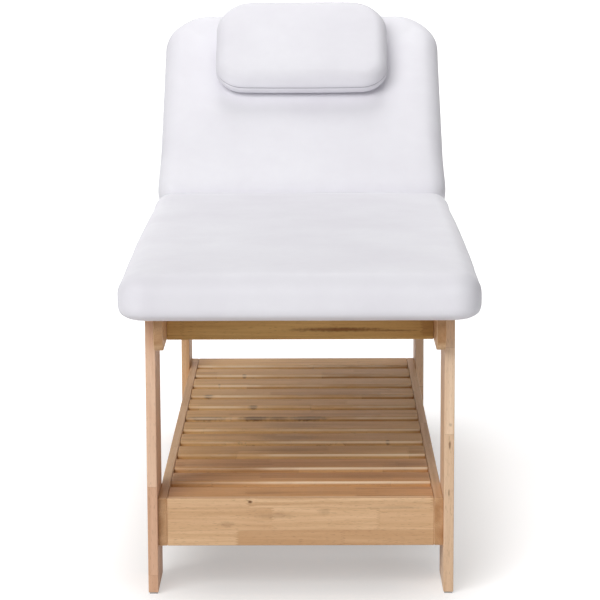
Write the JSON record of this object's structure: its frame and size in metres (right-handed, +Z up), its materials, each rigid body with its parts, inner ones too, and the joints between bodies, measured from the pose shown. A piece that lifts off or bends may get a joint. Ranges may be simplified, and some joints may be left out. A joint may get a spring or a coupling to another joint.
{
  "type": "spa treatment bed",
  "caption": "Padded treatment bed: fixed seat pad, tilting backrest held by slotted stays, sliding head pillow, on a wooden plank-leg base with a slatted storage shelf.",
  "frame": {"origin": "on the floor, in the middle of the bounding box with the backrest in its stored pose", "axes": "+Z up, +Y from the foot end to the head end, X across the bed, mirror plane at X = 0"},
  "size_m": [0.709, 1.782, 1.0972],
  "materials": {
    "pad_vinyl": "satin",
    "pillow_vinyl": "satin",
    "leg_wood": "satin",
    "rail_wood": "satin",
    "shelf_wood": "satin",
    "plywood": "matte",
    "zinc_steel": "satin",
    "insert_brass": "satin",
    "knob_plastic": "matte",
    "glide_rubber": "matte",
    "grip_tape": "matte"
  },
  "bodies": {
    "base": {"board_screws": "zinc_steel", "connector_bolts": "zinc_steel", "floor_glides": "glide_rubber", "foot_cross_rail": "rail_wood", "foot_shelf_apron": "shelf_wood", "head_cross_rail": "rail_wood", "head_shelf_apron": "shelf_wood", "hinge_pins": "zinc_steel", "left_foot_leg": "leg_wood", "left_head_leg": "leg_wood", "left_shelf_cleat": "shelf_wood", "left_shelf_rail": "shelf_wood", "left_stay_spacer": "zinc_steel", "left_stay_stud": "zinc_steel", "left_top_cleat": "rail_wood", "left_top_rail": "rail_wood", "middle_cross_rail": "rail_wood", "right_foot_leg": "leg_wood", "right_head_leg": "leg_wood", "right_shelf_cleat": "shelf_wood", "right_shelf_rail": "shelf_wood", "right_stay_spacer": "zinc_steel", "right_stay_stud": "zinc_steel", "right_top_cleat": "rail_wood", "right_top_rail": "rail_wood", "seat_board": "plywood", "seat_hinge_batten": "rail_wood", "seat_hinge_leaves": "zinc_steel", "seat_hinge_screws": "zinc_steel", "seat_pad": "pad_vinyl", "shelf_slat_01": "shelf_wood", "shelf_slat_02": "shelf_wood", "shelf_slat_03": "shelf_wood", "shelf_slat_04": "shelf_wood", "shelf_slat_05": "shelf_wood", "shelf_slat_06": "shelf_wood", "shelf_slat_07": "shelf_wood", "shelf_slat_08": "shelf_wood", "shelf_slat_09": "shelf_wood", "shelf_slat_10": "shelf_wood", "shelf_slat_11": "shelf_wood", "shelf_slat_12": "shelf_wood", "slat_screws": "zinc_steel", "threaded_inserts": "insert_brass"},
    "backrest": {"backrest_board": "plywood", "backrest_hinge_batten": "rail_wood", "backrest_pad": "pad_vinyl", "backrest_hinge_leaves": "zinc_steel", "backrest_hinge_screws": "zinc_steel", "left_stay_bracket": "zinc_steel", "right_stay_bracket": "zinc_steel", "left_stay_pivot": "zinc_steel", "right_stay_pivot": "zinc_steel", "bracket_screws": "zinc_steel"},
    "left_stay": {"left_stay": "zinc_steel"},
    "right_stay": {"right_stay": "zinc_steel"},
    "left_knob": {"left_clamp_knob": "knob_plastic"},
    "right_knob": {"right_clamp_knob": "knob_plastic"},
    "pillow": {"head_pillow": "pillow_vinyl", "pillow_grip_tapes": "grip_tape"}
  },
  "joints": [
    {"name": "backrest_tilt", "type": "hinge", "parent": "base", "child": "backrest", "pos_m": [0, 0.40361, 0.62306], "axis": [1, 0, 0], "range_deg": [-42, 8]},
    {"name": "left_stay_swing", "type": "hinge", "parent": "backrest", "child": "left_stay", "pos_m": [-0.258, 0.6367, 0.7427], "axis": [1, 0, 0], "range_deg": [-4, 21]},
    {"name": "right_stay_swing", "type": "hinge", "parent": "backrest", "child": "right_stay", "pos_m": [0.258, 0.6367, 0.7427], "axis": [1, 0, 0], "range_deg": [-4, 21]},
    {"name": "left_knob_turn", "type": "hinge", "parent": "base", "child": "left_knob", "pos_m": [-0.2435, 0.64776, 0.528], "axis": [1, 0, 0], "range_deg": [0, 360]},
    {"name": "right_knob_turn", "type": "hinge", "parent": "base", "child": "right_knob", "pos_m": [0.2435, 0.64776, 0.528], "axis": [-1, 0, 0], "range_deg": [0, 360]},
    {"name": "pillow_slide", "type": "slide", "parent": "backrest", "child": "pillow", "axis": [0, 0.7431, 0.6691], "range_m": [-0.12, 0.02]}
  ],
  "couplings": [
    {"joint": "left_stay_swing", "follows": "backrest_tilt", "ratio": -0.5},
    {"joint": "right_stay_swing", "follows": "backrest_tilt", "ratio": -0.5}
  ]
}
